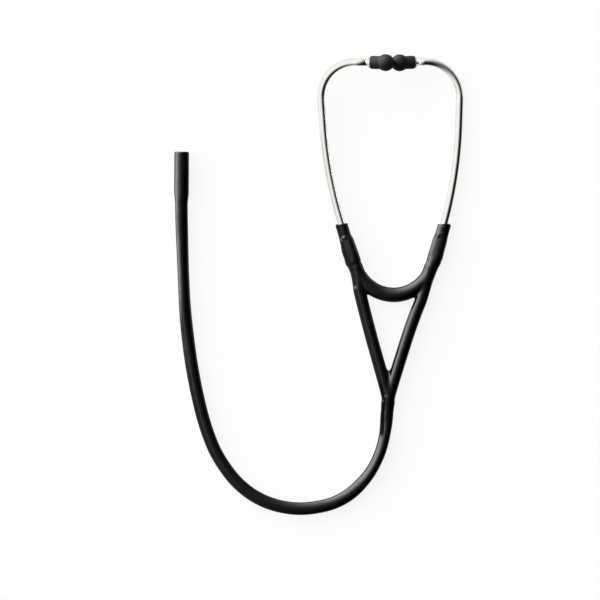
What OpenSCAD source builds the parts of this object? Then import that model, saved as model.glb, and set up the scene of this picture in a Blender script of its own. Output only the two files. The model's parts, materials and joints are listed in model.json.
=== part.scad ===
// Stethoscope headset: two bent ear tubes with soft ear tips, one moulded
// tubing with a sprung yoke, two branches, a crotch, and the main hose with
// the socket for a chestpiece. It lies flat, face up, with +Y from the crotch
// to the ear tips and +Z up from the surface.

/* [Ear tubes] */
// Outer radius of the metal ear tube
tube_r = 2.65; // [2.5:0.05:2.8]
// Inner radius of the ear tube
tube_bore_r = 1.9; // [1.7:0.05:2.1]
// Radius of the long gentle bend
long_bend_r = 312; // [290:1:340]
// Turn of the long gentle bend
long_bend_a = 13.5; // [12:0.5:15]
// Straight length between the two bends
mid_straight = 19; // [15:1:22]
// Radius of the tight bend near the ear
top_bend_r = 25.3; // [24:0.1:26]
// Turn of the tight bend near the ear
top_bend_a = 94.5; // [93:0.5:96]
// Straight length from the tight bend to the end of the left tube
left_end_straight = 9.6; // [8:0.1:9.6]
// Straight length from the tight bend to the end of the right tube
right_end_straight = 5.8; // [5:0.1:5.9]
// Tilt of the ear end out of the plane of the tube
ear_rise_a = 15; // [10:1:20]

/* [Arms at rest] */
// Outward lean of the left arm
left_lean = 17.6; // [17.5:0.1:20]
// Outward lean of the right arm
right_lean = 15.4; // [15.4:0.1:18]
// Upward pitch of the left arm
left_pitch = 2.4; // [2.4:0.1:4]
// Downward pitch of the right arm
right_pitch = -1; // [-1:0.1:0]

/* [Yoke] */
// Half the distance between the two flex points
pivot_half_w = 27.4; // [27:0.1:28]
// Radius of the yoke arc, to its centre line
arc_r = 29.2; // [28.8:0.1:30]
// Radius of the moulding along the arc
arc_tube_r = 4.7; // [4.5:0.1:4.9]
// Radius of the rounded end of the yoke at each flex point
knuckle_r = 5; // [4.9:0.1:5.2]
// Height of the flex points above the surface
pivot_z = 5.2; // [5.2:0.1:6]

/* [Leaf spring] */
// Thickness of the strip
strip_t = 0.5; // [0.3:0.1:0.5]
// Width of the strip
strip_w = 5; // [4:0.5:5]
// Inner bend radius of the strip, to its middle
strip_bend_r = 23.8; // [23.4:0.1:24]

/* [Branches and hose] */
// Radius of each branch tube
branch_r = 4.25; // [4:0.05:4.3]
// Radius of the sound passage in the moulding
lumen_r = 1.9; // [1.5:0.1:2]
// Diameter of the main hose
hose_d = 8.5; // [8:0.1:8.6]
// Radius of the chestpiece socket outside
socket_r = 5.15; // [5:0.05:5.4]
// Radius of the bore that takes the chestpiece stem
socket_bore_r = 3.5; // [3:0.1:3.8]
// Length of that bore, below its lead-in
socket_depth = 18; // [14:1:24]

/* [Ear tips] */
// Radius of the dome
dome_r = 6.1; // [5.8:0.05:6.2]
// Radius of the neck under the dome
neck_r = 4.75; // [4.6:0.05:5.2]
// Distance from the tip's base to the dome's centre
dome_rise = 10.5; // [10:0.1:10.6]
// Radius of the sound hole
sound_hole_r = 1.5; // [1:0.1:1.8]

/* [Hidden] */
$fn = 64;

moulding = "#1c1d20";
chrome = "#d5d8dc";
steel = "#9aa0a6";

// Flex points and the arc between them
yoke_x = 2.3;
pivot_y = -25.1;
left_pivot = [yoke_x - pivot_half_w, pivot_y, pivot_z];
right_pivot = [yoke_x + pivot_half_w, pivot_y, pivot_z];
arc_half_a = asin(pivot_half_w / arc_r);
arc_centre = [yoke_x, pivot_y + arc_r * cos(arc_half_a), pivot_z];
fork_arc_a = 48;

// Crotch, where the two branch centre lines meet the hose
crotch = [-1.6, -118.8, 4.8];
hose_start = [-2.5, -129, 4.6];
fork_stub = 25;
junction_arm = 17;
junction_r = 4.6;
passage_r = 1.4;
passage_offset = 1.9;

// Stations along an arm, from its flex point
sleeve_start = 3.2;
sleeve_end = 32;
sleeve_mouth = 33;
tube_start = 8;
clip_start = 12;
clip_end = 22;
rivet_stations = [15, 19];
flex_gap = 0.3;
long_rings = 6;
top_rings = 14;
ear_tube_sides = 20;
strip_offset = 3.5;
strip_flat_end = 1.5;
strip_end = 21.5;
clip_wall = 0.45;
clip_pad_x = 2.8;
rivet_r = 0.7;
rivet_head_r = 1.2;
rivet_head_t = 0.4;
rivet_clearance = 0.05;
rivet_hole_x = 2;
rivet_hole_len = 3;
// Outline of the sleeve, and of its bulge over the spring clip, as radius and station
sleeve_outline = [[5.2, sleeve_start], [5.2, 17], [4.6, 24], [4.3, 32.4], [4.1, sleeve_mouth]];
sleeve_x = -0.3;
bulge_outline = [[3.2, 5.5], [4.2, 10], [4.2, 21], [3, 25]];
bulge_x = 0.7;

// Collar, spigot and snap ring at the ear end, measured from the tube end
collar_r = 4.55;
collar_back = -0.4;
collar_back_r = 3;
collar_front = 1.9;
spigot_r = 2.25;
spigot_end = 8.1;
snap_r = 2.65;
snap_z = 5.8;
snap_half = 0.35;
run_clearance = 0.05;
tip_base = collar_front + flex_gap;
core_r = 3.4;
core_end = 9.1;

// Hose route, laid on the surface from the crotch round to the socket
hose_route = [
    hose_start, [-3.5, -140, 4.4], [-5.5, -151, 4.3], [-9.5, -162.5, 4.3],
    [-16.5, -174.5, 4.3], [-28, -186.5, 4.3], [-40, -193.5, 4.3], [-52, -197, 4.3],
    [-65, -198.5, 4.3], [-78, -197, 4.3], [-90, -193, 4.3], [-101, -187, 4.3],
    [-111, -178.5, 4.3], [-119, -168.5, 4.3], [-126, -157, 4.3], [-131, -145, 4.3],
    [-135, -132.5, 4.3], [-138, -120.5, 4.3], [-141, -106.5, 4.3], [-144, -89, 4.3],
    [-146.5, -69, 4.3], [-148, -52, 4.3], [-149, -31, 4.3], [-149.5, -12, 4.4],
    [-150, 4, 4.6], [-150, 19.5, 4.9]
];
hose_sides = 10;
hose_steps = 2;
socket_pitch = 2;
socket_len = 39.3;
socket_start_r = 4.4;
socket_taper = 10;
socket_edge = 0.5;
socket_lead = 0.3;
socket_point = 0.5;
socket_dir = [0, cos(socket_pitch), sin(socket_pitch)];

function unit(v) = v / norm(v);
function lead(a, b, d) = a + unit(b - a) * d;

// Cubic that passes through b and c, shaped by their neighbours a and d
function curve_point(a, b, c, d, t) = (
    2 * b + (c - a) * t + (2 * a - 5 * b + 4 * c - d) * t * t
    + (3 * b - a - 3 * c + d) * t * t * t
) / 2;
// Route with a guide point added at each end, so that it leaves straight
function guided(path, first, last, reach) = concat(
    [path[0] - first * reach], path, [path[len(path) - 1] + last * reach]
);
function smooth(g, steps) = concat(
    [for (i = [1 : len(g) - 3], k = [0 : steps - 1])
        curve_point(g[i - 1], g[i], g[i + 1], g[i + 2], k / steps)],
    [g[len(g) - 2]]
);
// Direction of the path at each ring
function headings(p, first, last) = [
    for (i = [0 : len(p) - 1])
        i == 0 ? first : i == len(p) - 1 ? last : unit(p[i + 1] - p[i - 1])
];

// Points of one round ring on each path point, first at the side away from up
function ring_points(path, dirs, r, sides, up) = [
    for (i = [0 : len(path) - 1])
        let (side = unit(cross(dirs[i], up)), top = cross(side, dirs[i]))
            for (k = [0 : sides - 1])
                path[i] + r * (cos(360 * k / sides) * side + sin(360 * k / sides) * top)
];
// Quads between neighbouring rings, numbered from the given first point
function ring_walls(rings, sides, first) = [
    for (i = [0 : rings - 2], k = [0 : sides - 1])
        let (n = (k + 1) % sides, a = first + i * sides, b = a + sides) [a + k, a + n, b + n, b + k]
];
function flipped(faces) = [for (f = faces) [for (i = [len(f) - 1 : -1 : 0]) f[i]]];

module swept_rod(path, dirs, r, sides) {
    last = (len(path) - 1) * sides;
    near_end = [for (k = [sides - 1 : -1 : 0]) k];
    far_end = [for (k = [0 : sides - 1]) last + k];
    polyhedron(
        ring_points(path, dirs, r, sides, [0, 0, 1]),
        concat(ring_walls(len(path), sides, 0), [near_end], [far_end])
    );
}

module swept_pipe(path, dirs, outer, inner, sides) {
    count = len(path) * sides;
    last = count - sides;
    rims = [for (k = [0 : sides - 1]) let (n = (k + 1) % sides) [k, k + count, n + count, n]];
    far_rims = [for (f = flipped(rims)) f + last * [1, 1, 1, 1]];
    polyhedron(
        concat(
            ring_points(path, dirs, outer, sides, [0, 1, 0]),
            ring_points(path, dirs, inner / cos(180 / sides), sides, [0, 1, 0])
        ),
        concat(
            ring_walls(len(path), sides, 0), flipped(ring_walls(len(path), sides, count)),
            rims, far_rims
        )
    );
}

module aim(a, b) {
    v = b - a;
    translate(a) rotate([0, acos(v[2] / norm(v)), atan2(v[1], v[0])]) children();
}

module rod(a, b, r) {
    aim(a, b) cylinder(r = r, h = norm(b - a));
}

// Frame of an arm: Z runs up the arm, X points to the other arm
module left_arm() {
    translate(left_pivot) rotate([0, 0, left_lean]) rotate([left_pitch - 90, 0, 0]) children();
}

module right_arm() {
    translate(right_pivot) mirror([1, 0, 0])
        rotate([0, 0, right_lean]) rotate([right_pitch - 90, 0, 0]) children();
}

// Frame at the far end of a bend that starts along Z and turns towards X
module after_bend(r, turn) {
    translate([r, 0, 0]) rotate([0, turn, 0]) translate([-r, 0, 0]) children();
}

module arc_tube(r, from, to) {
    translate(arc_centre) rotate([0, 0, from])
        rotate_extrude(angle = to - from, $fn = 180) translate([arc_r, 0]) circle(r = r, $fn = 32);
}

// Middle line of the leaf spring, seen from above: two straight legs that lie
// beside the ear tubes and one flat bend that touches both
function turned(v, a) = [v[0] * cos(a) - v[1] * sin(a), v[0] * sin(a) + v[1] * cos(a)];
left_leg = turned([0, 1], left_lean);
left_inward = turned([1, 0], left_lean);
right_leg = turned([0, 1], -right_lean);
right_inward = turned([-1, 0], -right_lean);
function flat(v) = [v[0], v[1]];
left_line = flat(left_pivot) + left_inward * (strip_offset + strip_bend_r);
right_line = flat(right_pivot) + right_inward * (strip_offset + strip_bend_r);
// Centre of the bend: where the two lines drawn one radius further in cross
line_gap = right_line - left_line;
leg_cross = left_leg[0] * right_leg[1] - left_leg[1] * right_leg[0];
down_left = (line_gap[0] * right_leg[1] - line_gap[1] * right_leg[0]) / leg_cross;
down_right = (line_gap[0] * left_leg[1] - line_gap[1] * left_leg[0]) / leg_cross;
strip_centre = left_line + left_leg * down_left;
strip_bend_from = 180 + left_lean;
strip_bend_to = 360 - right_lean;

function strip_edge(side) = let (r = strip_bend_r - side) concat(
    [strip_centre - left_inward * r + left_leg * (strip_flat_end - down_left)],
    [for (i = [0 : 24]) let (a = strip_bend_from + (strip_bend_to - strip_bend_from) * i / 24)
        strip_centre + r * [cos(a), sin(a)]],
    [strip_centre - right_inward * r + right_leg * (strip_flat_end - down_right)]
);

module strip_leg() {
    translate([strip_offset - strip_t / 2, -strip_w / 2, 0]) cube([strip_t, strip_w, strip_end]);
}

module strip() {
    inner = strip_edge(strip_t / 2);
    outer = strip_edge(-strip_t / 2);
    reversed = [for (i = [len(outer) - 1 : -1 : 0]) outer[i]];
    translate([0, 0, pivot_z - strip_w / 2]) linear_extrude(strip_w) polygon(concat(inner, reversed));
    left_arm() strip_leg();
    right_arm() strip_leg();
}

module fork(pivot, from, to, passage_top) {
    stub_end = lead(pivot, crotch, fork_stub);
    difference() {
        union() {
            // Its poles lie along Y, away from the arc's end
            translate(pivot) rotate([90, 0, 0]) sphere(r = knuckle_r);
            arc_tube(arc_tube_r, from, to);
            rod(pivot, stub_end, branch_r);
        }
        translate(pivot) sphere(r = lumen_r + 0.15);
        rod(pivot, lead(pivot, crotch, fork_stub + 1), lumen_r);
        rod(pivot, passage_top, lumen_r);
        strip();
    }
}

module branch_tube(pivot) {
    start = lead(pivot, crotch, fork_stub);
    end = lead(crotch, pivot, junction_arm);
    difference() {
        rod(start, end, branch_r);
        rod(lead(start, end, -1), lead(end, start, -1), lumen_r);
    }
}

// Solid of revolution under an outline of radius and station
module turned_solid(outline) {
    top = outline[len(outline) - 1][1];
    rotate_extrude() polygon(concat([[0, outline[0][1]]], outline, [[0, top]]));
}

module sleeve() {
    clip_len = clip_end - clip_start;
    slot_w = strip_w + 2 * flex_gap;
    slot_t = strip_offset + strip_t / 2 + flex_gap - clip_pad_x;
    head_w = 2 * (rivet_head_r + flex_gap);
    head_t = rivet_head_t + flex_gap;
    difference() {
        union() {
            translate([sleeve_x, 0, 0]) turned_solid(sleeve_outline);
            translate([bulge_x, 0, 0]) turned_solid(bulge_outline);
        }
        sphere(r = knuckle_r + flex_gap);
        cylinder(r = lumen_r, h = tube_start + 1);
        translate([0, 0, tube_start]) cylinder(r = tube_r, h = sleeve_mouth);
        translate([0, 0, clip_start]) cylinder(r = tube_r + clip_wall, h = clip_len);
        translate([clip_pad_x, -slot_w / 2, 0]) cube([slot_t, slot_w, clip_end + flex_gap]);
        translate([strip_offset + strip_t / 2, -head_w / 2, rivet_stations[0] - head_w / 2])
            cube([head_t, head_w, rivet_stations[1] - rivet_stations[0] + head_w]);
    }
}

// Bends of the ear tube in its arm's frame, as centre line points and headings
long_heading = [sin(long_bend_a), 0, cos(long_bend_a)];
top_inward = [
    cos(ear_rise_a) * cos(long_bend_a), -sin(ear_rise_a), -cos(ear_rise_a) * sin(long_bend_a)
];
top_heading = cos(top_bend_a) * long_heading + sin(top_bend_a) * top_inward;
function long_point(a) = [long_bend_r * (1 - cos(a)), 0, sleeve_end + long_bend_r * sin(a)];
top_start = long_point(long_bend_a) + mid_straight * long_heading;
function top_point(a) = (
    top_start + top_bend_r * ((1 - cos(a)) * top_inward + sin(a) * long_heading)
);
long_turns = [for (i = [0 : long_rings]) long_bend_a * i / long_rings];
top_turns = [for (i = [0 : top_rings]) top_bend_a * i / top_rings];
function ear_path(end_straight) = concat(
    [[0, 0, tube_start]],
    [for (a = long_turns) long_point(a)],
    [for (a = top_turns) top_point(a)],
    [top_point(top_bend_a) + end_straight * top_heading]
);
ear_headings = concat(
    [[0, 0, 1]],
    [for (a = long_turns) [sin(a), 0, cos(a)]],
    [for (a = top_turns) cos(a) * long_heading + sin(a) * top_inward],
    [top_heading]
);

module ear_tube(end_straight) {
    swept_pipe(ear_path(end_straight), ear_headings, tube_r, tube_bore_r, ear_tube_sides);
}

// Frame at the ear end of a tube, Z out of the tube
module at_ear(end_straight) {
    translate([0, 0, sleeve_end]) after_bend(long_bend_r, long_bend_a)
        translate([0, 0, mid_straight]) rotate([0, 0, -ear_rise_a])
            after_bend(top_bend_r, top_bend_a) translate([0, 0, end_straight]) children();
}

module spring_clip() {
    clip_len = clip_end - clip_start;
    pad_top = strip_offset - strip_t / 2;
    difference() {
        union() {
            translate([0, 0, clip_start]) cylinder(r = tube_r + clip_wall, h = clip_len);
            translate([clip_pad_x, -strip_w / 2, clip_start])
                cube([pad_top - clip_pad_x, strip_w, clip_len]);
        }
        translate([0, 0, clip_start - 1]) cylinder(r = tube_r, h = clip_len + 2);
        rivet_holes(rivet_r);
    }
}

module clip_rivets() {
    shank = strip_offset + strip_t / 2 - clip_pad_x;
    for (s = rivet_stations) translate([clip_pad_x, 0, s]) rotate([0, 90, 0]) {
        cylinder(r = rivet_r, h = shank, $fn = 24);
        translate([0, 0, shank]) cylinder(r = rivet_head_r, h = rivet_head_t, $fn = 24);
    }
}

module rivet_holes(r) {
    for (s = rivet_stations)
        translate([rivet_hole_x, 0, s]) rotate([0, 90, 0]) cylinder(r = r, h = rivet_hole_len, $fn = 24);
}

module ferrule() {
    rotate_extrude() polygon([
        [passage_r, -4], [tube_bore_r, -4], [tube_bore_r, 0], [tube_r, 0],
        [tube_r, collar_back], [collar_back_r, collar_back], [collar_r, collar_front - 0.4],
        [collar_r, collar_front], [spigot_r, collar_front],
        [spigot_r, snap_z - snap_half - 0.4], [snap_r, snap_z - snap_half],
        [snap_r, snap_z + snap_half], [spigot_r, snap_z + snap_half + 0.4],
        [spigot_r, spigot_end], [passage_r, spigot_end]
    ]);
}

module ear_tip_core() {
    bore_r = spigot_r + run_clearance;
    groove_r = snap_r + run_clearance;
    groove_half = snap_half + run_clearance / 2;
    rotate_extrude() polygon([
        [bore_r, tip_base], [core_r, tip_base], [core_r, core_end], [sound_hole_r, core_end],
        [sound_hole_r, core_end - 0.6], [bore_r, core_end - 0.6],
        [bore_r, snap_z + groove_half + 0.4], [groove_r, snap_z + groove_half],
        [groove_r, snap_z - groove_half], [bore_r, snap_z - groove_half - 0.4]
    ]);
}

module ear_tip() {
    difference() {
        union() {
            rotate_extrude() polygon([
                [0, tip_base], [neck_r - 0.5, tip_base], [neck_r, tip_base + 0.5],
                [neck_r, tip_base + dome_rise - 2], [0, tip_base + dome_rise - 2]
            ]);
            translate([0, 0, tip_base + dome_rise]) sphere(r = dome_r);
        }
        cylinder(r = core_r, h = core_end);
        cylinder(r = sound_hole_r, h = tip_base + dome_rise + dome_r + 1);
    }
}

module yoke_arc() {
    color(moulding) difference() {
        arc_tube(arc_tube_r, 270 - arc_half_a + fork_arc_a, 270 + arc_half_a - fork_arc_a);
        strip();
    }
}

module left_fork() {
    color(moulding) fork(left_pivot, 270 - arc_half_a, 270 - arc_half_a + fork_arc_a,
        left_pivot + (knuckle_r + 1) * [left_leg[0], left_leg[1], 0]);
}

module right_fork() {
    color(moulding) fork(right_pivot, 270 + arc_half_a - fork_arc_a, 270 + arc_half_a,
        right_pivot + (knuckle_r + 1) * [right_leg[0], right_leg[1], 0]);
}

module left_branch_tube() {
    color(moulding) branch_tube(left_pivot);
}

module right_branch_tube() {
    color(moulding) branch_tube(right_pivot);
}

module y_junction() {
    down = unit(hose_start - crotch);
    side = unit(cross([0, 0, 1], down)) * passage_offset;
    color(moulding) difference() {
        union() {
            rod(lead(crotch, left_pivot, junction_arm), crotch, branch_r);
            rod(lead(crotch, right_pivot, junction_arm), crotch, branch_r);
            translate(crotch) sphere(r = junction_r + 0.15);
            rod(crotch, hose_start, junction_r);
        }
        for (arm = [[left_pivot, -1], [right_pivot, 1]]) {
            mouth = lead(crotch, arm[0], junction_arm);
            elbow = crotch - 3 * down + arm[1] * side;
            rod(lead(mouth, elbow, -1), elbow, passage_r);
            translate(elbow) sphere(r = passage_r + 0.1);
            rod(elbow, hose_start + down + arm[1] * side, passage_r);
        }
    }
}

module main_hose() {
    first = unit(hose_start - crotch);
    path = smooth(guided(hose_route, first, socket_dir, 12), hose_steps);
    color(moulding) swept_rod(path, headings(path, first, socket_dir), hose_d / 2, hose_sides);
}

module chestpiece_socket() {
    start = hose_route[len(hose_route) - 1];
    bore_top = socket_len - socket_lead;
    bore_bottom = bore_top - socket_depth;
    color(moulding) aim(start, start + socket_dir) difference() {
        rotate_extrude() polygon([
            [0, 0], [socket_start_r, 0], [socket_r, socket_taper],
            [socket_r, socket_len - socket_edge], [socket_r - socket_edge, socket_len],
            [socket_bore_r + socket_lead, socket_len], [socket_bore_r, bore_top],
            [socket_bore_r, bore_bottom], [0, bore_bottom - socket_point]
        ]);
        for (side = [-1, 1]) translate([0, side * passage_offset, -1])
            cylinder(r = passage_r, h = socket_len);
    }
}

module leaf_spring() {
    color(steel) difference() {
        strip();
        left_arm() rivet_holes(rivet_r + rivet_clearance);
        right_arm() rivet_holes(rivet_r + rivet_clearance);
    }
}

module left_sleeve() { color(moulding) left_arm() sleeve(); }
module right_sleeve() { color(moulding) right_arm() sleeve(); }
module left_ear_tube() { color(chrome) left_arm() ear_tube(left_end_straight); }
module right_ear_tube() { color(chrome) right_arm() ear_tube(right_end_straight); }
module left_spring_clip() { color(steel) left_arm() spring_clip(); }
module right_spring_clip() { color(steel) right_arm() spring_clip(); }
module left_clip_rivets() { color(steel) left_arm() clip_rivets(); }
module right_clip_rivets() { color(steel) right_arm() clip_rivets(); }
module left_ferrule() { color(chrome) left_arm() at_ear(left_end_straight) ferrule(); }
module right_ferrule() { color(chrome) right_arm() at_ear(right_end_straight) ferrule(); }
module left_ear_tip() { color("#3a3b3d") left_arm() at_ear(left_end_straight) ear_tip(); }
module right_ear_tip() { color("#3a3b3d") right_arm() at_ear(right_end_straight) ear_tip(); }
module left_ear_tip_core() { color("#5b5c5e") left_arm() at_ear(left_end_straight) ear_tip_core(); }
module right_ear_tip_core() { color("#5b5c5e") right_arm() at_ear(right_end_straight) ear_tip_core(); }

yoke_arc();
left_fork();
right_fork();
left_branch_tube();
right_branch_tube();
y_junction();
main_hose();
chestpiece_socket();
leaf_spring();
left_sleeve();
left_ear_tube();
left_spring_clip();
left_clip_rivets();
left_ferrule();
left_ear_tip();
left_ear_tip_core();
right_sleeve();
right_ear_tube();
right_spring_clip();
right_clip_rivets();
right_ferrule();
right_ear_tip();
right_ear_tip_core();
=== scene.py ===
"""Looks of the stethoscope headset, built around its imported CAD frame.

Lengths inside the making functions are millimetres in the row frame; pieces are
written to their meshes in metres. Sections: sizes, stage, geometry helpers,
materials, moulded tubing, hose and socket, ear tubes, ear tips, inner parts, build.
"""

import json
import math

import bmesh
import bpy
import numpy as np
from mathutils import Matrix, Vector


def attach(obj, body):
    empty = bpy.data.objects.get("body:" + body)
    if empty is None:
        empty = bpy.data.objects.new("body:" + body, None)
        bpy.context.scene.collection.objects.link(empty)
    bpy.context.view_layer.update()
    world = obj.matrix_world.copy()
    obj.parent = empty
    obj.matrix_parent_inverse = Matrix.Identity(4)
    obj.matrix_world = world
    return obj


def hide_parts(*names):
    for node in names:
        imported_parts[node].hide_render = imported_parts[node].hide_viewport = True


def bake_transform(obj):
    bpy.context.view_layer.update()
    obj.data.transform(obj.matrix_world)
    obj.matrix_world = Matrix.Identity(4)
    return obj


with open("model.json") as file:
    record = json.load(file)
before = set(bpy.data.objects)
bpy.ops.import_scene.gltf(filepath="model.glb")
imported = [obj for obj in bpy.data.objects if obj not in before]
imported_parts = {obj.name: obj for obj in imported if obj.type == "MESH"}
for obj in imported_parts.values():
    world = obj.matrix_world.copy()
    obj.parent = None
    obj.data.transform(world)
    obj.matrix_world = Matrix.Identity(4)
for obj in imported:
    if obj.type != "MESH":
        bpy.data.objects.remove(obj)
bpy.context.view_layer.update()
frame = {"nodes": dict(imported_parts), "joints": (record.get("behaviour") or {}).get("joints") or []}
MM = 0.001
JOINTS = {j["name"]: j for j in frame["joints"]}


# ---------------------------------------------------------------- sizes, mm

# Arms: pivot from the frame, then lean, pitch and whether X is mirrored
LEFT = {
    "name": "left", "pivot": np.array(JOINTS["left_splay"]["pos_m"]) / MM,
    "lean": 17.6, "pitch": 2.4, "mirror": 1, "end_straight": 9.6,
    # Sleeve: half widths towards the other arm and away from it, at the stations
    "inner": [5.3, 5.5, 5.4, 5.2, 4.95, 4.1, 4.2],
    "outer": [6.2, 6.2, 5.8, 5.9, 5.15, 4.8, 4.7],
    # Branch tube's middle line: shift inward at the flex point and below it, then its bends
    "branch_shift": (0.3, -1.2), "bends": [(-21.6, -44.1), (-13.9, -74.2)],
    # Sleeve's mouth: its station at the tube's axis, and its slope towards the other arm
    "mouth": (33.7, -0.19),
    "stud": (-0.9, -3.65, 23.4),
}
RIGHT = {
    "name": "right", "pivot": np.array(JOINTS["right_splay"]["pos_m"]) / MM,
    "lean": 15.4, "pitch": -1.0, "mirror": -1, "end_straight": 5.8,
    "inner": [5.4, 5.4, 5.15, 4.95, 4.9, 4.25, 4.2],
    "outer": [4.6, 5.25, 5.7, 5.55, 5.5, 5.2, 5.15],
    "branch_shift": (1.3, 1.3), "bends": [(22.0, -47.5), (17.8, -58.3), (11.2, -77.2)],
    "mouth": (33.2, -0.31),
    "stud": (1.9, -3.3, 23.5),
}
ARMS = (LEFT, RIGHT)
SLEEVE_STATIONS = [2, 5, 9, 14, 20, 25.5, 34]
SLEEVE_HIGH = [4.8, 4.9, 4.75, 4.75, 4.6, 4.2, 4.1]
# The sleeve's section is a round one at power 2 and boxier above that
SLEEVE_POWERS = ([6, 11, 20, 26], [2, 2.7, 2.6, 2])
SLEEVE_FIRST, SLEEVE_CAP = 6.2, 8
SLEEVE_TWIST = 12
STUD_R = 0.85
PAD_TWIST, PAD_PLACE, PAD_SIZE = -31, [0, -4.1, 13.4], [1.7, 1.15, 9.5]

TUBE_R, TUBE_BORE_R = 2.65, 1.9
TUBE_START, SLEEVE_END = 8.0, 32.0
LONG_BEND_R, LONG_BEND_A = 312.0, 13.5
MID_STRAIGHT = 19.0
TOP_BEND_R, TOP_BEND_A = 25.3, 94.5
EAR_RISE_A = 15.0

ARC_R, ARC_TUBE_R = 29.2, 4.7
PIVOT_Z = float(LEFT["pivot"][2])
ARC_HALF_A = math.asin((RIGHT["pivot"][0] - LEFT["pivot"][0]) / 2 / ARC_R)
ARC_CENTRE = (LEFT["pivot"] + RIGHT["pivot"]) / 2 + [0, ARC_R * math.cos(ARC_HALF_A), 0]
ARC_STRETCH = np.array([0.98, 1, 1])
ARC_TAPER = 2.1
ARC_LEFT_THINNER, ARC_RIGHT_THINNER = 0.2, 0.6
BRANCH_R, BRANCH_END_R = 4.5, 3.4
BELOW_FLEX = 11
CROTCH = np.array([-1.6, -118.8, 4.8])
BRANCH_END = np.array([-2.1, -125.5, 4.7])
HOSE_START = np.array([-2.5, -129, 4.6])

# The hose's route, from the crotch round to the socket
HOSE_ROUTE = [
    (-2.5, -129), (-3.5, -140), (-5.5, -151), (-9.5, -162.5),
    (-16.5, -174.5), (-28, -186.5), (-40, -193.5), (-52, -196.8),
    (-65, -198.1), (-78, -196.7), (-90, -193), (-101, -187),
    (-111, -178.5), (-119, -168.5), (-126, -157), (-131, -145),
    (-135, -132.5), (-138, -120.5), (-141, -106.5), (-144, -89),
    (-146.5, -69), (-148, -52), (-149, -31), (-149.7, -12),
    (-150.2, 4), (-150.5, 19.5),
]
HOSE_D, HOSE_HALF_W, HOSE_HALF_H = 8.5, 4.6, 3.9
# Shares of the route and the oval's twist at each, degrees
HOSE_TWISTS = ([0, 0.05, 0.1, 0.19, 0.5, 0.68, 0.86, 1], [0, 62, 68, 8, 0, 6, 54, 16])
SOCKET_Z, SOCKET_PITCH, SOCKET_LEN = 4.9, 2.0, 39.3
SOCKET_R, SOCKET_SWELL, SOCKET_TAPER = 5.1, 0.23, 0.05
SOCKET_BORE_R, SOCKET_DEPTH = 3.5, 18.0
PASSAGE_R, PASSAGE_OFFSET = 1.4, 1.9

# Ear tips and collars, along the tube's axis from its end
TIP_BASE = 2.2
DOME_Z, DOME_R, NECK_R = 12.7, 6.08, 4.74
DOME_STRETCH = 1.06
SOUND_HOLE_R = 1.5
CORE_R, CORE_END = 3.4, 9.1

STRIP_T, STRIP_W, STRIP_OFFSET = 0.5, 5.0, 3.5
STRIP_BEND_R, STRIP_START, STRIP_END = 23.8, 1, 21.5

# Where the moulded skin is split
SPLIT_Y = -62.0


# ------------------------------------------------------------------- stage

VIEW_CENTRE, VIEW_WIDTH = (-65.16, -47.88), 432
VIEW_GAMMA = 0.85
TOP_LIGHT, PANEL_LIGHT, FLOOR_LIGHT, FLOOR_GLOW = 0.9, 12.0, 0.8, 1.01
PANEL_SIDE = (-0.87, 0.5, 0)
CARD_PLACE, CARD_SIZE = np.array([-42, -128.5, 20]), (60, 21)


def make_camera():
    """Looks straight down on the whole object through a long lens."""
    data = bpy.data.cameras.new("camera")
    data.lens = 800
    data.sensor_width = 36
    data.clip_end = 100
    distance = VIEW_WIDTH * data.lens / data.sensor_width
    camera = bpy.data.objects.new("camera", data)
    camera.location = Vector((*VIEW_CENTRE, distance)) * MM
    bpy.context.scene.collection.objects.link(camera)
    bpy.context.scene.camera = camera


def node(tree, kind, inputs=(), **values):
    """New shader node with its settings and its inputs, each a value or a link."""
    made = tree.nodes.new(kind)
    for name, value in values.items():
        setattr(made, name, value)
    for i, value in enumerate(inputs):
        if isinstance(value, bpy.types.NodeSocket):
            tree.links.new(value, made.inputs[i])
        elif value is not None:
            made.inputs[i].default_value = value
    return made


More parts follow.
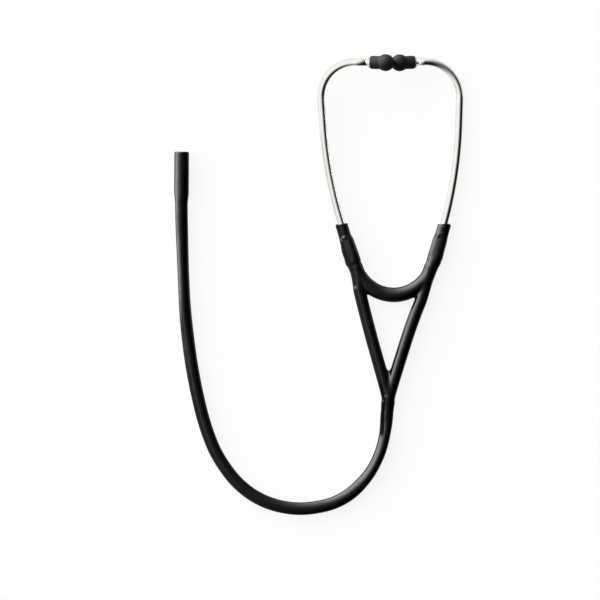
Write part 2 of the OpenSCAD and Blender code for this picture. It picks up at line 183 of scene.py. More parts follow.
def make_sky():
    """Light tent over a pale floor: a bright panel at the upper left, fading to a dark right."""
    world = bpy.data.worlds.new("studio")
    world.use_nodes = True
    tree = world.node_tree
    place = node(tree, "ShaderNodeTexCoord").outputs["Generated"]
    height = node(tree, "ShaderNodeSeparateXYZ", (place,)).outputs["Z"]

    def sums(operation, *values):
        return node(tree, "ShaderNodeMath", values, operation=operation).outputs[0]

    def step(value, low, high, start=0.0, end=1.0):
        inputs = (value, low, high, start, end)
        made = node(tree, "ShaderNodeMapRange", inputs, interpolation_type="SMOOTHSTEP")
        return made.outputs[0]

    def vector(operation, *values):
        return node(tree, "ShaderNodeVectorMath", values, operation=operation).outputs

    towards = vector("DOT_PRODUCT", place, PANEL_SIDE)["Value"]
    level = vector("NORMALIZE", vector("MULTIPLY", place, (1, 1, 0))[0])[0]
    north = node(tree, "ShaderNodeSeparateXYZ", (level,)).outputs["Y"]

    # The panel ends sharply just past the left, except high up
    inside = sums("MAXIMUM", step(north, -0.13, -0.05), step(height, 0.72, 0.92))
    inside = sums("MULTIPLY", inside, step(height, -0.45, -0.3))
    ahead = sums("MAXIMUM", towards, 0.0)
    panel = sums("MULTIPLY", sums("MULTIPLY", ahead, ahead), PANEL_LIGHT * 1.5)
    panel = sums("MULTIPLY", sums("MINIMUM", panel, PANEL_LIGHT), inside)
    fade = sums("MAXIMUM", sums("MINIMUM", sums("MULTIPLY_ADD", towards, 1.3, 0.78), 1.0), 0.02)
    tent = sums("MULTIPLY_ADD", fade, TOP_LIGHT, panel)
    # Below the horizon the pale floor; to the lower right the dark reaches further down
    horizon = sums("MINIMUM", sums("MAXIMUM", sums("MULTIPLY_ADD", north, 6.0, -0.25), -0.5), 0.25)
    under = step(sums("SUBTRACT", horizon, height), 0.0, 0.15)
    side = sums("MULTIPLY_ADD", step(towards, 0.0, 0.3), -1.0, 1.0)
    low = step(height, -0.3, -0.45)
    floor = sums("MAXIMUM", sums("MULTIPLY", under, side), low)
    strength = sums("MULTIPLY_ADD", sums("SUBTRACT", FLOOR_LIGHT, tent), floor, tent)
    sky = tree.nodes["Background"]
    sky.inputs["Color"].default_value = (1, 0.99, 0.975, 1)
    tree.links.new(strength, sky.inputs["Strength"])
    bpy.context.scene.world = world


def make_stage():
    """Plain white floor under the tent, lit mostly by itself so that it stays short of glare."""
    make_sky()
    # Holds the panel's mirror image in the plating at white, as a camera does
    bpy.context.scene.cycles.sample_clamp_direct = 0.9
    view = bpy.context.scene.view_settings
    view.view_transform = "Standard"
    view.gamma = VIEW_GAMMA

    bpy.ops.mesh.primitive_plane_add(size=40, location=(0, 0, 0))
    floor = bpy.context.object
    floor.name = "floor"
    shader = paint_stage(floor, 0.02, 0.9)
    shader.inputs["Emission Color"].default_value = (1, 1, 1, 1)
    shader.inputs["Emission Strength"].default_value = FLOOR_GLOW
    floor.visible_glossy = False
    add_card()


def paint_stage(piece, grey, roughness):
    """Plain grey paint on a stage piece; gives back its shader."""
    paint = bpy.data.materials.new(f"{piece.name}_paint")
    paint.use_nodes = True
    shader = paint.node_tree.nodes["Principled BSDF"]
    shader.inputs["Base Color"].default_value = (grey, grey, grey, 1)
    shader.inputs["Roughness"].default_value = roughness
    piece.data.materials.append(paint)
    return shader


def add_card():
    """A small upright black card, unseen, that keeps the panel's mirror image off the stem."""
    upright = (0, math.pi / 2, 0)
    bpy.ops.mesh.primitive_plane_add(size=1, location=CARD_PLACE * MM, rotation=upright)
    card = bpy.context.object
    card.name = "black_card"
    card.scale = (CARD_SIZE[0] * MM, CARD_SIZE[1] * MM, 1)
    paint_stage(card, 0, 1)
    card.visible_camera = card.visible_shadow = card.visible_diffuse = False


# -------------------------------------------------------- geometry helpers

def unit(v):
    v = np.asarray(v, float)
    return v / np.linalg.norm(v)


STEM_DOWN = unit(HOSE_START - CROTCH)


def cross_axes(heading):
    """A level side and the axis above it, both square to a heading."""
    side = unit(np.cross([0, 0, 1], heading))
    return side, np.cross(heading, side)


def turn(axis, angle):
    return np.array(Matrix.Rotation(math.radians(angle), 3, axis))


def arm_axes(arm):
    """Columns: towards the other arm, down through the plane, up along the arm."""
    mirror = np.diag([arm["mirror"], 1, 1])
    return mirror @ turn("Z", arm["lean"]) @ turn("X", arm["pitch"] - 90)


def from_arm(arm, points):
    return np.asarray(points, float) @ arm_axes(arm).T + arm["pivot"]


def to_arm(arm, points):
    return (points - arm["pivot"]) @ arm_axes(arm)


def tube_path(arm, steps=40):
    """Centre line and headings of an ear tube in its arm's frame."""
    points, headings = [[0, 0, TUBE_START]], [[0, 0, 1]]
    for i in range(steps + 1):
        a = math.radians(LONG_BEND_A) * i / steps
        points.append([LONG_BEND_R * (1 - math.cos(a)), 0, SLEEVE_END + LONG_BEND_R * math.sin(a)])
        headings.append([math.sin(a), 0, math.cos(a)])
    long_a, rise = math.radians(LONG_BEND_A), math.radians(EAR_RISE_A)
    forward = np.array(headings[-1])
    start = np.array(points[-1]) + MID_STRAIGHT * forward
    inward = np.array([
        math.cos(rise) * math.cos(long_a), -math.sin(rise), -math.cos(rise) * math.sin(long_a)
    ])
    for i in range(steps + 1):
        a = math.radians(TOP_BEND_A) * i / steps
        points.append(start + TOP_BEND_R * ((1 - math.cos(a)) * inward + math.sin(a) * forward))
        headings.append(math.cos(a) * forward + math.sin(a) * inward)
    points.append(points[-1] + arm["end_straight"] * np.array(headings[-1]))
    headings.append(headings[-1])
    return np.array(points, float), np.array(headings, float)


def ear_frame(arm):
    """Place and axes of the tube's ear end in the row frame, Z out of the tube."""
    points, headings = tube_path(arm)
    out = unit(arm_axes(arm) @ headings[-1])
    return from_arm(arm, points[-1:])[0], np.column_stack([*cross_axes(out), out])


def mesh_object(name, points, faces):
    mesh = bpy.data.meshes.new(name)
    mesh.from_pydata((np.asarray(points) * MM).tolist(), [], faces)
    mesh.validate()
    mesh.update()
    mesh.polygons.foreach_set("use_smooth", [True] * len(mesh.polygons))
    piece = bpy.data.objects.new(name, mesh)
    bpy.context.scene.collection.objects.link(piece)
    return piece


def outward(piece):
    """Makes every face look outward, and gives flat end caps a crisp edge."""
    bm = bmesh.new()
    bm.from_mesh(piece.data)
    bmesh.ops.recalc_face_normals(bm, faces=bm.faces)
    for face in bm.faces:
        if len(face.verts) > 4:
            face.smooth = False
            for edge in face.edges:
                edge.smooth = False
    bm.to_mesh(piece.data)
    bm.free()
    return piece


def loft(name, rings, closed=False):
    """Skin over rings of equal count. An open loft gets flat ends; a closed one meets its start."""
    count = len(rings[0])
    points = np.concatenate(rings)
    faces = []
    for i in range(len(rings) if closed else len(rings) - 1):
        a, b = i * count, (i + 1) % len(rings) * count
        for k in range(count):
            n = (k + 1) % count
            faces.append([a + k, a + n, b + n, b + k])
    if not closed:
        faces.append(list(range(count))[::-1])
        faces.append(list(range(len(points) - count, len(points))))
    return outward(mesh_object(name, points, faces))


def circle(centre, side, up, radius, count):
    angle = np.arange(count) * 2 * math.pi / count
    return centre + radius * (np.outer(np.cos(angle), side) + np.outer(np.sin(angle), up))


def lathe(name, place, axes, profile, count=64, closed=False):
    """Turned shape from (radius, height) points; a zero radius becomes a tiny one."""
    rings = [
        circle(place + axes[:, 2] * z, axes[:, 0], axes[:, 1], max(r, 0.01), count)
        for r, z in profile
    ]
    return loft(name, rings, closed)


def rounded(points, radius, steps):
    """Outline with each corner replaced by an arc of up to that radius."""
    points = [np.array(p, float) for p in points]
    made = []
    for i, corner in enumerate(points):
        before, after = points[i - 1], points[(i + 1) % len(points)]
        a, b = before - corner, after - corner
        reach = min(radius, 0.45 * np.linalg.norm(a), 0.45 * np.linalg.norm(b))
        a, b = corner + unit(a) * reach, corner + unit(b) * reach
        for k in range(steps + 1):
            t = k / steps
            made.append((1 - t) ** 2 * a + 2 * t * (1 - t) * corner + t * t * b)
    return [tuple(p) for p in made]


def smooth_steps(x, xs, ys):
    """Smooth curve through (xs, ys), flat at each point."""
    i = np.clip(np.searchsorted(xs, x) - 1, 0, len(xs) - 2)
    xs, ys = np.asarray(xs, float), np.asarray(ys, float)
    t = np.clip((x - xs[i]) / (xs[i + 1] - xs[i]), 0, 1)
    return ys[i] + (ys[i + 1] - ys[i]) * t * t * (3 - 2 * t)


def through(points, steps):
    """Smooth curve through points (first and last are guides)."""
    made = []
    for i in range(1, len(points) - 2):
        a, b, c, d = points[i - 1:i + 3]
        for k in range(steps):
            t = k / steps
            made.append((
                2 * b + (c - a) * t + (2 * a - 5 * b + 4 * c - d) * t * t
                + (3 * b - a - 3 * c + d) * t ** 3
            ) / 2)
    made.append(points[-2])
    return np.array(made)


# --------------------------------------------------------------- materials

class Nodes:
    """Short hand for building a material's node tree."""

    def __init__(self, name):
        self.material = bpy.data.materials.new(name)
        self.material.use_nodes = True
        self.tree = self.material.node_tree
        self.shader = self.tree.nodes["Principled BSDF"]
        self.place = self.add("ShaderNodeTexCoord").outputs["Object"]

    def add(self, kind):
        return self.tree.nodes.new(kind)

    def link(self, a, b):
        self.tree.links.new(a, b)

    def noise(self, scale, detail=3.0, roughness=0.55, stretch=None):
        made = self.add("ShaderNodeTexNoise")
        made.inputs["Scale"].default_value = scale
        made.inputs["Detail"].default_value = detail
        made.inputs["Roughness"].default_value = roughness
        source = self.place
        if stretch:
            mapping = self.add("ShaderNodeMapping")
            mapping.inputs["Scale"].default_value = stretch
            self.link(source, mapping.inputs["Vector"])
            source = mapping.outputs["Vector"]
        self.link(source, made.inputs["Vector"])
        return made.outputs["Fac"]

    def ramp(self, fac, low, high):
        made = self.add("ShaderNodeMapRange")
        made.inputs["From Min"].default_value = 0.3
        made.inputs["From Max"].default_value = 0.7
        made.inputs["To Min"].default_value = low
        made.inputs["To Max"].default_value = high
        self.link(fac, made.inputs["Value"])
        return made.outputs["Result"]

    def colours(self, fac, first, second):
        made = self.add("ShaderNodeValToRGB")
        stops = made.color_ramp.elements
        stops[0].position, stops[1].position = 0.35, 0.65
        stops[0].color, stops[1].color = (*first, 1), (*second, 1)
        self.link(fac, made.inputs["Fac"])
        return made.outputs["Color"]

    def bump(self, height, strength, distance, below=None):
        made = self.add("ShaderNodeBump")
        made.inputs["Strength"].default_value = strength
        made.inputs["Distance"].default_value = distance
        self.link(height, made.inputs["Height"])
        if below:
            self.link(below, made.inputs["Normal"])
        return made.outputs["Normal"]

    def drive(self, name, value):
        """Links a value to the shader's input of that name."""
        self.link(value, self.shader.inputs[name])

    def set(self, **values):
        for name, value in values.items():
            self.shader.inputs[name.replace("_", " ")].default_value = value


def moulding_material():
    """Glossy black moulded PVC: slow waves, uneven gloss and a little bloom."""
    n = Nodes("black_pvc")
    bloom = n.colours(n.noise(160, 4), (0.0008, 0.0008, 0.0009), (0.0018, 0.0018, 0.002))
    n.drive("Base Color", bloom)
    n.drive("Roughness", n.ramp(n.noise(300, 4), 0.14, 0.2))
    waves = n.bump(n.noise(75, 1.0), 0.3, 0.0005)
    n.drive("Normal", n.bump(n.noise(1500, 2), 0.05, 0.00004, waves))
    n.set(Specular_IOR_Level=0.28, IOR=1.5)
    return n.material


def ear_tube_material():
    """Bright plated tube with faint polishing lines."""
    n = Nodes("bright_plating")
    lines = n.noise(900, 3, 0.6, stretch=(1, 0.06, 1))
    n.drive("Base Color", n.colours(n.noise(60, 2), (0.88, 0.87, 0.85), (0.93, 0.92, 0.905)))
    n.drive("Roughness", n.ramp(lines, 0.035, 0.06))
    n.set(Metallic=1.0)
    return n.material


def ear_tip_material():
    """Matt soft rubber with fine grain and a slight dusty bloom."""
    n = Nodes("soft_rubber")
    dust = n.colours(n.noise(220, 4), (0.0035, 0.0035, 0.0038), (0.0065, 0.0065, 0.0068))
    n.drive("Base Color", dust)
    n.drive("Roughness", n.ramp(n.noise(500, 4), 0.52, 0.64))
    n.drive("Normal", n.bump(n.noise(3000, 3), 0.2, 0.00005))
    n.set(Specular_IOR_Level=0.22, Sheen_Weight=0.015, Sheen_Roughness=0.4)
    return n.material


def spring_steel_material():
    """Rolled spring steel with lines along its length."""
    n = Nodes("rolled_steel")
    lines = n.noise(1500, 3, 0.6, stretch=(1, 1, 0.05))
    n.drive("Base Color", n.colours(lines, (0.42, 0.43, 0.45), (0.6, 0.61, 0.62)))
    n.drive("Roughness", n.ramp(lines, 0.22, 0.4))
    n.drive("Normal", n.bump(lines, 0.1, 0.00003))
    n.set(Metallic=1.0)
    return n.material


def core_material():
    """Dark stiff plastic inside the ear tips."""
    n = Nodes("stiff_insert")
    n.drive("Base Color", n.colours(n.noise(300, 3), (0.05, 0.05, 0.053), (0.08, 0.08, 0.083)))
    n.drive("Roughness", n.ramp(n.noise(700, 3), 0.4, 0.55))
    n.drive("Normal", n.bump(n.noise(4000, 2), 0.15, 0.00004))
    return n.material


def dress(piece, material):
    piece.data.materials.clear()
    piece.data.materials.append(material)
    return piece


# --------------------------------------------------------- moulded tubing

def soft_union(a, b, k):
    """Union of two distances with a fillet of about k."""
    h = np.clip(0.5 + 0.5 * (b - a) / k, 0, 1)
    return b * (1 - h) + a * h - k * h * (1 - h)


def turned_about_z(q, angle):
    c, s = math.cos(math.radians(angle)), math.sin(math.radians(angle))
    return np.column_stack([q[:, 0] * c - q[:, 1] * s, q[:, 0] * s + q[:, 1] * c, q[:, 2]])


def sleeve_distance(arm, p):
    """The thick part over an ear tube's end, boxy where it covers the spring clip."""
    q = to_arm(arm, p)
    along = np.clip(q[:, 2], SLEEVE_FIRST, SLEEVE_END + 5)
    wide = np.where(
        q[:, 0] > 0,
        smooth_steps(along, SLEEVE_STATIONS, arm["inner"]),
        smooth_steps(along, SLEEVE_STATIONS, arm["outer"]),
    )
    high = smooth_steps(along, SLEEVE_STATIONS, SLEEVE_HIGH)
    power = smooth_steps(along, *SLEEVE_POWERS)
    end = np.minimum(q[:, 2] - SLEEVE_FIRST, 0) / SLEEVE_CAP
    flat = turned_about_z(q, SLEEVE_TWIST * arm["mirror"])
    x, y = np.abs(flat[:, 0]) / wide, np.abs(flat[:, 1]) / high
    size = ((x ** power + y ** power) ** (2 / power) + end ** 2) ** 0.5
    body = (size - 1) * np.minimum(wide, high)
    if arm is LEFT:
        pad = (turned_about_z(q, PAD_TWIST) - PAD_PLACE) / PAD_SIZE
        body = soft_union(body, (np.linalg.norm(pad, axis=1) - 1) * min(PAD_SIZE), 0.9)
    stud = np.linalg.norm(q - np.array(arm["stud"]), axis=1) - STUD_R
    return soft_union(body, stud, 1.6)


def arc_distance(p):
    """The yoke arc, a thick bent rod that narrows a little towards its ends."""
    d = (p - ARC_CENTRE) / ARC_STRETCH
    bottom = 1.5 * math.pi
    angle = np.mod(np.arctan2(d[:, 1], d[:, 0]), 2 * math.pi)
    angle = np.where(angle < math.pi / 2, angle + 2 * math.pi, angle)
    angle = np.clip(angle, bottom - ARC_HALF_A, bottom + ARC_HALF_A)
    near = ARC_R * np.column_stack([np.cos(angle), np.sin(angle), angle * 0])
    radius = ARC_TUBE_R - ARC_TAPER * (angle / math.pi - 1.5) ** 2
    thinner = np.where(angle > bottom, ARC_RIGHT_THINNER, ARC_LEFT_THINNER)
    near_end = smooth_steps(np.abs(angle - bottom), [0.6 * ARC_HALF_A, ARC_HALF_A], [0, 1])
    radius = radius - thinner * near_end
    return np.linalg.norm((d - near) * ARC_STRETCH, axis=1) - radius


def branch_distance(arm, p):
    """One branch tube, bowed a little sideways; it thins out inside the stem."""
    inward, up = arm_axes(arm)[:, 0], arm_axes(arm)[:, 2]
    near, below = arm["branch_shift"]
    start = arm["pivot"] + inward * near
    second = arm["pivot"] + inward * below - up * BELOW_FLEX
    ways = [start[:2], second[:2], *arm["bends"], CROTCH[:2], BRANCH_END[:2]]
    ways = [np.array(w, float) for w in ways]
    curve = through([2 * ways[0] - ways[1], *ways, 2 * ways[-1] - ways[-2]], 12)
    chord = BRANCH_END - start
    side = unit(np.cross([0, 0, 1], chord))
    t = np.clip((p - start) @ chord / (chord @ chord), 0, 1)
    shares = (curve - start[:2]) @ chord[:2] / (chord[:2] @ chord[:2])
    bow = np.interp(t, shares, (curve - start[:2]) @ side[:2])
    middle = start + t[:, None] * chord + bow[:, None] * side
    radius = smooth_steps(t, [0.93, 1], [BRANCH_R, BRANCH_END_R])
    return np.linalg.norm(p - middle, axis=1) - radius


def hose_oval(share):
    """Half width, half height and twist of the two-passage hose at that share of its length."""
    return HOSE_HALF_W, HOSE_HALF_H, math.radians(smooth_steps(share, *HOSE_TWISTS))


def stem_distance(p):
    """The stem below the crotch, with the hose's oval section."""
    side, up = cross_axes(STEM_DOWN)
    q = p - HOSE_START
    wide, high, _ = hose_oval(0)
    along = np.clip(q @ STEM_DOWN, -11, 6)
    wide = wide + smooth_steps(along, [-11, -7, -1, 6], [-0.3, 0.22, 0, 0])
    high = high + smooth_steps(along, [-11, -1, 6], [0.5, 0, 0])
    x, y, z = q @ side, q @ up, q @ STEM_DOWN - along
    swell = np.sqrt((x / wide) ** 2 + (y / high) ** 2 + (z / high) ** 2)
    size = np.sqrt(x * x + y * y + z * z) + 1e-9
    return (swell - 1) * size / np.maximum(swell, 1e-6)


def moulding_distance(p):
    """Distance to the whole moulding down to the start of the hose."""
    arms = []
    for arm in ARMS:
        arms.append(soft_union(sleeve_distance(arm, p), branch_distance(arm, p), 1.6))
    left, right = (soft_union(a, arc_distance(p), 1.5) for a in arms)
    # The web in the crotch fills sideways only, so that the moulding still lies on the surface,
    # and it ends where the two branches have become one
    level = np.clip(1 - np.abs(p[:, 2] - CROTCH[2]) / 4.6, 0, 1)
    apart = smooth_steps(p[:, 1], [-121, -111], [0, 1])
    crotch = smooth_steps(p[:, 1], [-121, -111, -100, -90], [0, 1, 1, 0])
    fillet = 0.2 + (0.1 + 2.2 * level) * apart + (1.2 + 0.5 * level) * crotch
    return soft_union(soft_union(left, right, fillet), stem_distance(p), 1.1)


def surface_net(distance, low, high, step):
    """Quads where the distance changes sign, one point in each cell that it crosses."""
    axes = [np.arange(a, b, step) for a, b in zip(low, high)]
    grid = np.stack(np.meshgrid(*axes, indexing="ij"), -1)
    inside = np.stack([
        distance(part.reshape(-1, 3)).reshape(part.shape[:-1]) < 0 for part in grid
    ])
    cells = np.array(inside.shape) - 1
    index = -np.ones(cells, int)
    corners = [(i, j, k) for i in (0, 1) for j in (0, 1) for k in (0, 1)]
    count = sum(
        inside[i:i + cells[0], j:j + cells[1], k:k + cells[2]].astype(int) for i, j, k in corners
    )
    crossed = (count > 0) & (count < 8)
    index[crossed] = np.arange(crossed.sum())
    points = grid[:-1, :-1, :-1][crossed] + step / 2
    faces = []
    for axis in range(3):
        u, v = (axis + 1) % 3, (axis + 2) % 3
        shift = np.zeros(3, int)
        shift[axis] = 1
        a = inside[: cells[0], : cells[1], : cells[2]]
        b = inside[shift[0]:, shift[1]:, shift[2]:][: cells[0], : cells[1], : cells[2]]
        at = np.argwhere(a != b)
        at = at[(at[:, u] > 0) & (at[:, v] > 0)]
        flip = a[tuple(at.T)]
        du, dv = np.zeros(3, int), np.zeros(3, int)
        du[u], dv[v] = 1, 1
        quad = np.stack([
            index[tuple(x.T)] for x in (at, at - du, at - du - dv, at - dv)
        ], 1)
        quad[~flip] = quad[~flip][:, ::-1]
        faces.append(quad)
    return points, np.concatenate(faces)


def gradient(distance, p, h=0.02):
    eye = np.eye(3) * h
    g = np.stack([distance(p + e) - distance(p - e) for e in eye], 1)
    return g / np.maximum(np.linalg.norm(g, axis=1, keepdims=True), 1e-9)


def settle(distance, points, faces, rounds=8):
    """Evens the points out along the surface and puts them exactly on it."""
    edges = np.concatenate([faces[:, [0, 1]], faces[:, [1, 2]], faces[:, [2, 3]], faces[:, [3, 0]]])
    edges = np.concatenate([edges, edges[:, ::-1]])
    degree = np.bincount(edges[:, 0], minlength=len(points))[:, None]
    for _ in range(rounds):
        total = np.stack([
            np.bincount(edges[:, 0], points[edges[:, 1], i], minlength=len(points))
            for i in range(3)
        ], 1)
        points = points + 0.5 * (total / np.maximum(degree, 1) - points)
        for _ in range(2):
            normal = gradient(distance, points)
            points = points - normal * np.clip(distance(points), -0.5, 0.5)[:, None]
    return points


def cut(bm, place, normal):
    """Cuts the mesh with a plane and drops what is on the normal's side."""
    bmesh.ops.bisect_plane(
        bm, geom=list(bm.faces) + list(bm.edges) + list(bm.verts), dist=1e-7,
        plane_co=Vector(place) * MM, plane_no=Vector(normal), clear_outer=True,
    )


def make_moulding():
    """The moulded tubing as three pieces: one for each arm, and the crotch."""
    step = 0.62
    points, faces = surface_net(moulding_distance, (-46, -136, -1), (52, 14, 12), step)
    points = settle(moulding_distance, points, faces)
    whole = mesh_object("moulding_whole", points, faces.tolist())
    outward(whole)

    pieces = []
    for name in ("left", "right", "crotch"):
        bm = bmesh.new()
        bm.from_mesh(whole.data)
        if name == "crotch":
            cut(bm, (0, SPLIT_Y, 0), (0, 1, 0))
            cut(bm, HOSE_START, STEM_DOWN)
        else:
            arm = LEFT if name == "left" else RIGHT
            cut(bm, (0, SPLIT_Y, 0), (0, -1, 0))
            cut(bm, ARC_CENTRE, (arm["mirror"], 0, 0))
            add_rim(bm, arm)
        mesh = bpy.data.meshes.new(f"tubing_{name}")
        bm.to_mesh(mesh)
        bm.free()
        mesh.polygons.foreach_set("use_smooth", [True] * len(mesh.polygons))
        surface_normals(mesh)
        piece = bpy.data.objects.new(f"tubing_{name}", mesh)
        bpy.context.scene.collection.objects.link(piece)
        pieces.append(piece)
    bpy.data.objects.remove(whole)
    return pieces


def surface_normals(mesh):
    """Takes the shading normals from the shape itself, so that split pieces meet unseen.

    Points off the surface, such as the rims', keep their own normals."""
    points = np.array([v.co for v in mesh.vertices]) / MM
    normals = gradient(moulding_distance, points)
    normals[np.abs(moulding_distance(points)) > 0.03] = 0
    mesh.normals_split_custom_set_from_vertices(normals.tolist())


def add_rim(bm, arm):
    """Cuts the sleeve at its slanted mouth and turns the rim inward to the ear tube."""
    station, slope = arm["mouth"]
    up = unit(arm_axes(arm) @ [-slope, 0, 1])
    top = from_arm(arm, [[0, 0, station - 1.2]])[0]
    cut(bm, top, up)
    loop = [
        e for e in bm.edges
        if e.is_boundary and all(abs((np.array(v.co) / MM - top) @ up) < 0.01 for v in e.verts)
    ]
    hole = TUBE_R + 0.01
    profile = [
        (4.33, -0.75), (4.25, -0.35), (4.0, -0.08), (3.6, 0), (3.1, 0), (2.8, -0.08),
        (hole, -0.3), (hole, -1.5), (hole, -6),
    ]
    for radius, z in profile:
        made = bmesh.ops.extrude_edge_only(bm, edges=loop)["geom"]
        verts = [g for g in made if isinstance(g, bmesh.types.BMVert)]
        loop = [g for g in made if isinstance(g, bmesh.types.BMEdge) and g.is_boundary]
        q = to_arm(arm, np.array([v.co for v in verts]) / MM)
        around = q[:, :2] / np.linalg.norm(q[:, :2], axis=1, keepdims=True)
        q = np.column_stack([around * radius, station + slope * around[:, 0] * radius + z])
        for v, co in zip(verts, from_arm(arm, q) * MM):
            v.co = co


# -------------------------------------------------------- hose and socket

def hose_centres(steps):
    """Centre line of the hose; it rests on the floor between its two raised ends."""
    first = unit((HOSE_START - CROTCH)[:2])
    flat = [np.array(p, float) for p in HOSE_ROUTE]
    flat = [flat[0] - first * 12, *flat, flat[-1] + np.array([0, 12.0])]
    line = through(flat, steps)
    run = np.concatenate([[0], np.cumsum(np.linalg.norm(np.diff(line, axis=0), axis=1))])
    share = run / run[-1]
    height = []
    for s in share:
        wide, high, twist = hose_oval(s)
        rest = math.hypot(wide * math.sin(twist), high * math.cos(twist)) + 0.05
        lift = smooth_steps(s, [0, 0.04, 0.93, 1], [1, 0, 0, 1])
        end = max(HOSE_START[2] if s < 0.5 else SOCKET_Z, rest)
        height.append(rest + (end - rest) * lift)
    return np.column_stack([line, height]), share


def oval_ring(centre, heading, wide, high, twist, count=48):
    side, up = cross_axes(heading)
    angle = np.arange(count) * 2 * math.pi / count
    x, y = wide * np.cos(angle), high * np.sin(angle)
    c, s = math.cos(twist), math.sin(twist)
    return centre + np.outer(x * c - y * s, side) + np.outer(x * s + y * c, up)


def make_hose():
    """The main hose, an oval tube with two passages that turns a little as it lies."""
    centres, share = hose_centres(8)
    pitch = math.radians(SOCKET_PITCH)
    headings = np.gradient(centres, axis=0)
    headings = headings / np.linalg.norm(headings, axis=1, keepdims=True)
    headings[0], headings[-1] = STEM_DOWN, (0, math.cos(pitch), math.sin(pitch))
    rings = [oval_ring(c, h, *hose_oval(s)) for c, h, s in zip(centres, headings, share)]
    return loft("main_hose_skin", rings), centres


def make_socket(start):
    """The open end that takes a chestpiece: swells from the hose, with a bore and two passages."""
    pitch = math.radians(SOCKET_PITCH)
    along = unit([0.006, math.cos(pitch), math.sin(pitch)])
    side, _ = cross_axes(along)
    wide, high, twist = hose_oval(1)
    rings, normals = [], []
    for z in (0, 1.5, 3, 4.5, 6, 7.5, 9, 10.5, 12, 20, 28, 36, 38.2):
        mix = smooth_steps(z, [1, 11], [0, 1])
        taper = SOCKET_TAPER * smooth_steps(z, [12, 38.2], [0, 1])
        a = wide + (SOCKET_R + SOCKET_SWELL - wide) * mix - taper
        b = high + (SOCKET_R - high) * mix - taper
        rings.append(oval_ring(start + along * z, along, a, b, twist * (1 - mix)))
        normals.append(oval_ring(np.zeros(3), along, 1 / a, 1 / b, twist * (1 - mix)))
    # Round the lip at the open end and down the bore to its floor
    top, bore, floor = SOCKET_LEN, SOCKET_BORE_R, SOCKET_LEN - SOCKET_DEPTH
    inside = [
        (SOCKET_R, top - 0.4), (SOCKET_R - 0.2, top - 0.1), (SOCKET_R - 0.5, top),
        (bore + 0.5, top), (bore + 0.2, top - 0.1), (bore + 0.02, top - 0.4), (bore, top - 0.9),
        (bore, 30), (bore, floor + 0.3), (bore - 0.2, floor), (bore - 0.9, floor), (0.05, floor),
    ]
    for radius, z in inside:
        rings.append(oval_ring(start + along * z, along, radius, radius, 0))
    piece = loft("socket_skin", rings)
    # Straight across the swell, as the hose's are, so that the light runs on over the join
    normals = np.concatenate(normals)
    normals = normals / np.linalg.norm(normals, axis=1, keepdims=True)
    rest = np.zeros((len(piece.data.vertices) - len(normals), 3))
    piece.data.normals_split_custom_set_from_vertices(np.concatenate([normals, rest]).tolist())
    passages = [
        make_passage(f"socket_passage_{n}", start + along * floor + side * offset, along, PASSAGE_R)
        for n, offset in ((1, PASSAGE_OFFSET), (2, -PASSAGE_OFFSET))
    ]
    return piece, passages


def make_passage(name, place, out, radius):
    """The raised lip and dark inside of a sound passage's opening."""
    profile = [
        (radius + 0.25, -0.05), (radius + 0.22, 0.12), (radius, 0.12), (radius * 0.3, 0.03),
        (0, 0.03),
    ]
    return lathe(name, place, np.column_stack([*cross_axes(out), out]), profile, 32)


# -------------------------------------------------------------- ear tubes

def make_ear_tube(arm):
    """Bent plated tube, hollow."""
    stations = list(zip(*tube_path(arm)))
    rings = []
    for radius, order in ((TUBE_R, stations), (TUBE_BORE_R, stations[::-1])):
        for point, heading in order:
            side = unit(np.cross(heading, [0, 1, 0]))
            rings.append(circle(point, side, np.cross(side, heading), radius, 48))
    rings = [from_arm(arm, ring) for ring in rings]
    return loft(f"{arm['name']}_ear_tube_skin", rings, closed=True)


def make_ferrule(arm):
    """Collar and barbed spigot pressed on the tube's end."""
    place, axes = ear_frame(arm)
    profile = rounded([
        (1.4, -4), (1.9, -4), (1.9, 0), (2.66, 0), (2.66, -0.4), (3.0, -0.4), (4.52, 1.45),
        (4.52, 1.88), (2.25, 1.88), (2.25, 5.05), (2.65, 5.45), (2.65, 6.15), (2.25, 6.55),
        (2.25, 8.1), (1.4, 8.1),
    ], 0.16, 4)
    return lathe(f"{arm['name']}_ferrule_skin", place, axes, profile, 64, closed=True)


# --------------------------------------------------------------- ear tips

def make_ear_tip(arm):
    """Mushroom-shaped soft ear tip: neck with a base ring, dome with a sound hole."""
    place, axes = ear_frame(arm)
    join = DOME_Z - math.sqrt(DOME_R ** 2 - NECK_R ** 2)
    outline = [
        (CORE_R + 0.02, TIP_BASE), (NECK_R - 0.6, TIP_BASE), (NECK_R - 0.25, TIP_BASE + 0.08),
        (NECK_R - 0.05, TIP_BASE + 0.35), (NECK_R, TIP_BASE + 0.8), (NECK_R - 0.02, TIP_BASE + 3),
        (NECK_R - 0.06, join - 1.2), (NECK_R - 0.02, join - 0.4),
    ]
    low = math.asin((join + 0.1 - DOME_Z) / DOME_R)
    high = math.acos((SOUND_HOLE_R + 0.35) / DOME_R)
    for i in range(29):
        a = low + (high - low) * i / 28
        stretch = DOME_STRETCH if a > 0 else 1
        outline.append((DOME_R * math.cos(a), DOME_Z + DOME_R * stretch * math.sin(a)))
    top = outline[-1][1]
    outline += [
        (SOUND_HOLE_R + 0.12, top - 0.02), (SOUND_HOLE_R, top - 0.25), (SOUND_HOLE_R, top - 2),
        (SOUND_HOLE_R, CORE_END + 0.02), (CORE_R + 0.02, CORE_END + 0.02), (CORE_R + 0.02, 5),
    ]
    return lathe(f"{arm['name']}_ear_tip_skin", place, axes, outline, 72, closed=True)


# ------------------------------------------------------------ inner parts

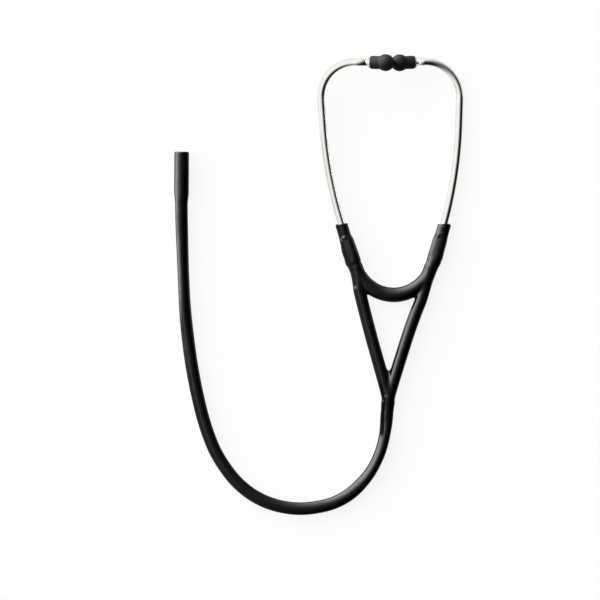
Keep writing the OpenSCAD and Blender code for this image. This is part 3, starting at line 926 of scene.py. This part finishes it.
def strip_legs():
    """Middle line of the leaf spring seen from above, as a bend centre and two legs."""
    legs = {}
    for arm in ARMS:
        lean, m = math.radians(arm["lean"]), arm["mirror"]
        up = np.array([-m * math.sin(lean), math.cos(lean)])
        inward = np.array([m * math.cos(lean), math.sin(lean)])
        start = arm["pivot"][:2] + inward * (STRIP_OFFSET + STRIP_BEND_R)
        legs[arm["name"]] = (up, inward, start)
    (lu, _, ls), (ru, _, rs) = legs["left"], legs["right"]
    gap = rs - ls
    cross = lu[0] * ru[1] - lu[1] * ru[0]
    centre = ls + lu * (gap[0] * ru[1] - gap[1] * ru[0]) / cross
    return centre, legs


def make_strip_half(arm):
    """Half of the leaf spring, from its middle to its end on the clip."""
    centre, legs = strip_legs()
    up, inward, start = legs[arm["name"]]
    bend_from = math.atan2(-inward[1], -inward[0])
    bottom = -math.pi / 2
    line = []
    for i in range(25):
        a = bottom + math.remainder(bend_from - bottom, 2 * math.pi) * i / 24
        direction = np.array([math.cos(a), math.sin(a), 0])
        line.append((np.array([*centre, PIVOT_Z]) + direction * STRIP_BEND_R, direction, (0, 0, 1)))
    axes = arm_axes(arm)
    for i in range(13):
        height = STRIP_START + (STRIP_END - STRIP_START) * i / 12
        place = from_arm(arm, [[STRIP_OFFSET, 0, height]])[0]
        line.append((place, -axes[:, 0], -axes[:, 1]))
    section = rounded([
        (-STRIP_T / 2, -STRIP_W / 2), (STRIP_T / 2, -STRIP_W / 2),
        (STRIP_T / 2, STRIP_W / 2), (-STRIP_T / 2, STRIP_W / 2),
    ], 0.2, 3)
    rings = []
    for place, normal, rise in line:
        rings.append(np.array([place + normal * x + np.array(rise) * y for x, y in section]))
    return loft(f"leaf_spring_{arm['name']}_half", rings)


# ------------------------------------------------------------------- build

def flex(piece):
    """Bakes a piece's placement into its mesh; the piece is not bent."""
    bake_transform(piece)


def build():
    make_camera()
    make_stage()
    pvc, plating, rubber = moulding_material(), ear_tube_material(), ear_tip_material()
    steel, insert = spring_steel_material(), core_material()

    hose, centres = make_hose()
    dress(hose, pvc)
    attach(hose, "tubing")
    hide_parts("main_hose")
    socket, passages = make_socket(centres[-1])
    for piece in (socket, *passages):
        dress(piece, pvc)
        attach(piece, "tubing")
    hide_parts("chestpiece_socket")

    left, right, crotch = make_moulding()
    for piece in (left, right, crotch):
        dress(piece, pvc)
    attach(crotch, "tubing")
    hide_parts("y_junction", "left_branch_tube", "right_branch_tube")
    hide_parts("left_sleeve", "left_fork", "yoke_arc")
    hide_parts("right_sleeve", "right_fork", "yoke_arc")
    flex(left)
    flex(right)

    for arm in ARMS:
        name = arm["name"]
        tube = dress(make_ear_tube(arm), plating)
        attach(tube, f"{name}_arm")
        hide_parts(f"{name}_ear_tube")
        ferrule = dress(make_ferrule(arm), plating)
        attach(ferrule, f"{name}_arm")
        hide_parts(f"{name}_ferrule")
        tip = dress(make_ear_tip(arm), rubber)
        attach(tip, f"{name}_tip")
        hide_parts(f"{name}_ear_tip")
        strip = dress(make_strip_half(arm), steel)
        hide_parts("leaf_spring")
        flex(strip)
        cad_parts = {"spring_clip": steel, "clip_rivets": steel, "ear_tip_core": insert}
        for part, material in cad_parts.items():
            materials = frame["nodes"][f"{name}_{part}"].data.materials
            materials.clear()
            materials.append(material)


build()
